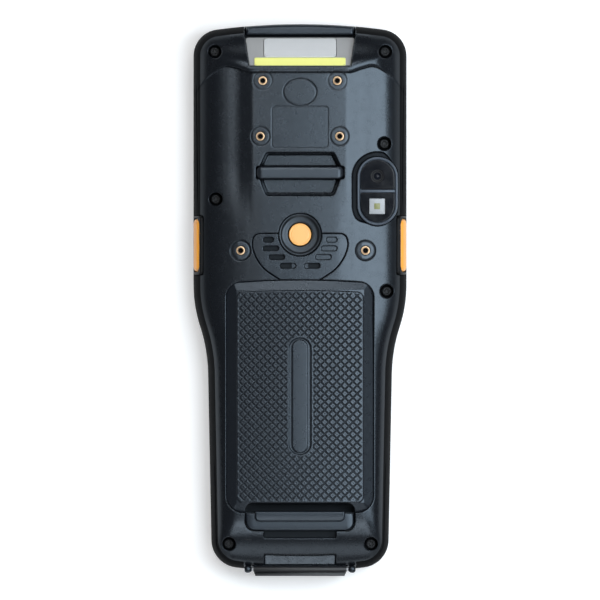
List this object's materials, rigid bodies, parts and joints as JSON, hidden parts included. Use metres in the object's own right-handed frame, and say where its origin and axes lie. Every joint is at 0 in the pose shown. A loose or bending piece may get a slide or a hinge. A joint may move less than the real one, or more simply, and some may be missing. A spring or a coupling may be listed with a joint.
{
  "type": "portable barcode terminal",
  "caption": "Handheld data terminal with a scan window in its head, a strap bar, a camera, a lidded battery bay with a sliding latch, and a hinged flap over its connector.",
  "frame": {"origin": "on the ground, under the centre of the overall box, with the part lying on its screen side", "axes": "+Y from the connector end to the scanning head, +Z out of the back, +X to the right as the back is seen with the head up"},
  "size_m": [0.08, 0.2074, 0.0318],
  "materials": {
    "housing": "fine grain, satin",
    "front_shell": "fine grain, satin",
    "seal": "matt",
    "lip": "satin",
    "bezel": "satin",
    "pane": "clear, glossy",
    "strip": "satin",
    "inner_black": "matt",
    "bar": "satin",
    "back_plastic": "satin",
    "camera_rim": "semi-gloss",
    "smoked_pane": "smoked, polished",
    "lamp": "glossy",
    "ring": "semi-gloss",
    "inner_metal": "brushed",
    "battery": "fine grain",
    "contact_gold": "polished",
    "pin_steel": "polished",
    "screw_black": "black oxide",
    "brass": "turned",
    "display_glass": "polished",
    "mat": "matt",
    "board": "solder mask",
    "cover": "grained, satin",
    "latch": "satin",
    "lid": "satin",
    "button_peach": "satin",
    "button_orange": "satin",
    "key": "satin"
  },
  "bodies": {
    "chassis": {"rear_housing": "housing", "front_housing": "front_shell", "housing_seal": "seal", "nose_lip": "lip", "scan_bezel": "bezel", "scan_window": "pane", "window_strip": "strip", "scan_engine": "inner_black", "strap_bar": "bar", "service_plate": "back_plastic", "contact_cap": "back_plastic", "camera_frame": "camera_rim", "camera_panes": "smoked_pane", "camera_module": "inner_black", "flash_lamp": "lamp", "speaker_panel": "back_plastic", "speaker": "inner_black", "button_ring": "ring", "button_switches": "inner_metal", "side_frame_left": "front_shell", "side_frame_right": "front_shell", "battery_pack": "battery", "battery_contacts": "contact_gold", "card_tray": "inner_metal", "lid_pin": "pin_steel", "dock_connector": "inner_black", "housing_screws": "screw_black", "thread_inserts": "brass", "display_glass": "display_glass", "display_module": "inner_metal", "keypad_mat": "mat", "keypad_board": "board", "main_board": "board", "vibration_motor": "inner_metal", "earpiece": "inner_black"},
    "battery_cover": {"battery_cover": "cover"},
    "battery_latch": {"battery_latch": "latch"},
    "connector_lid": {"connector_lid": "lid"},
    "centre_button": {"centre_button": "button_peach"},
    "side_button_left": {"side_button_left": "button_orange"},
    "side_button_right": {"side_button_right": "button_orange"},
    "scan_key": {"scan_key": "button_orange"},
    "key_1_1": {"key_1_1": "key"},
    "key_1_2": {"key_1_2": "key"},
    "key_1_3": {"key_1_3": "key"},
    "key_1_4": {"key_1_4": "key"},
    "key_2_1": {"key_2_1": "key"},
    "key_2_2": {"key_2_2": "key"},
    "key_2_3": {"key_2_3": "key"},
    "key_2_4": {"key_2_4": "key"},
    "key_3_1": {"key_3_1": "key"},
    "key_3_2": {"key_3_2": "key"},
    "key_3_3": {"key_3_3": "key"},
    "key_3_4": {"key_3_4": "key"},
    "key_4_1": {"key_4_1": "key"},
    "key_4_2": {"key_4_2": "key"},
    "key_4_3": {"key_4_3": "key"},
    "key_4_4": {"key_4_4": "key"}
  },
  "joints": [
    {"name": "battery_cover_hinge", "type": "hinge", "parent": "chassis", "child": "battery_cover", "pos_m": [0, 0.0076, 0.0291], "axis": [-1, 0, 0], "range_deg": [0, 70]},
    {"name": "battery_latch_slide", "type": "slide", "parent": "chassis", "child": "battery_latch", "axis": [0, -1, 0], "range_m": [0, 0.0025], "stiffness_N_per_m": 300},
    {"name": "connector_lid_hinge", "type": "hinge", "parent": "chassis", "child": "connector_lid", "pos_m": [0, -0.1011, 0.0176], "axis": [-1, 0, 0], "range_deg": [0, 110]},
    {"name": "centre_button_press", "type": "slide", "parent": "chassis", "child": "centre_button", "axis": [0, 0, -1], "range_m": [0, 0.0006], "stiffness_N_per_m": 600},
    {"name": "side_button_left_press", "type": "slide", "parent": "chassis", "child": "side_button_left", "axis": [1, 0, 0], "range_m": [0, 0.0008], "stiffness_N_per_m": 600},
    {"name": "side_button_right_press", "type": "slide", "parent": "chassis", "child": "side_button_right", "axis": [-1, 0, 0], "range_m": [0, 0.0008], "stiffness_N_per_m": 600},
    {"name": "scan_key_press", "type": "slide", "parent": "chassis", "child": "scan_key", "axis": [0, 0, 1], "range_m": [0, 0.0005], "stiffness_N_per_m": 600},
    {"name": "key_1_1_press", "type": "slide", "parent": "chassis", "child": "key_1_1", "axis": [0, 0, 1], "range_m": [0, 0.0005], "stiffness_N_per_m": 600},
    {"name": "key_1_2_press", "type": "slide", "parent": "chassis", "child": "key_1_2", "axis": [0, 0, 1], "range_m": [0, 0.0005], "stiffness_N_per_m": 600},
    {"name": "key_1_3_press", "type": "slide", "parent": "chassis", "child": "key_1_3", "axis": [0, 0, 1], "range_m": [0, 0.0005], "stiffness_N_per_m": 600},
    {"name": "key_1_4_press", "type": "slide", "parent": "chassis", "child": "key_1_4", "axis": [0, 0, 1], "range_m": [0, 0.0005], "stiffness_N_per_m": 600},
    {"name": "key_2_1_press", "type": "slide", "parent": "chassis", "child": "key_2_1", "axis": [0, 0, 1], "range_m": [0, 0.0005], "stiffness_N_per_m": 600},
    {"name": "key_2_2_press", "type": "slide", "parent": "chassis", "child": "key_2_2", "axis": [0, 0, 1], "range_m": [0, 0.0005], "stiffness_N_per_m": 600},
    {"name": "key_2_3_press", "type": "slide", "parent": "chassis", "child": "key_2_3", "axis": [0, 0, 1], "range_m": [0, 0.0005], "stiffness_N_per_m": 600},
    {"name": "key_2_4_press", "type": "slide", "parent": "chassis", "child": "key_2_4", "axis": [0, 0, 1], "range_m": [0, 0.0005], "stiffness_N_per_m": 600},
    {"name": "key_3_1_press", "type": "slide", "parent": "chassis", "child": "key_3_1", "axis": [0, 0, 1], "range_m": [0, 0.0005], "stiffness_N_per_m": 600},
    {"name": "key_3_2_press", "type": "slide", "parent": "chassis", "child": "key_3_2", "axis": [0, 0, 1], "range_m": [0, 0.0005], "stiffness_N_per_m": 600},
    {"name": "key_3_3_press", "type": "slide", "parent": "chassis", "child": "key_3_3", "axis": [0, 0, 1], "range_m": [0, 0.0005], "stiffness_N_per_m": 600},
    {"name": "key_3_4_press", "type": "slide", "parent": "chassis", "child": "key_3_4", "axis": [0, 0, 1], "range_m": [0, 0.0005], "stiffness_N_per_m": 600},
    {"name": "key_4_1_press", "type": "slide", "parent": "chassis", "child": "key_4_1", "axis": [0, 0, 1], "range_m": [0, 0.0005], "stiffness_N_per_m": 600},
    {"name": "key_4_2_press", "type": "slide", "parent": "chassis", "child": "key_4_2", "axis": [0, 0, 1], "range_m": [0, 0.0005], "stiffness_N_per_m": 600},
    {"name": "key_4_3_press", "type": "slide", "parent": "chassis", "child": "key_4_3", "axis": [0, 0, 1], "range_m": [0, 0.0005], "stiffness_N_per_m": 600},
    {"name": "key_4_4_press", "type": "slide", "parent": "chassis", "child": "key_4_4", "axis": [0, 0, 1], "range_m": [0, 0.0005], "stiffness_N_per_m": 600}
  ]
}
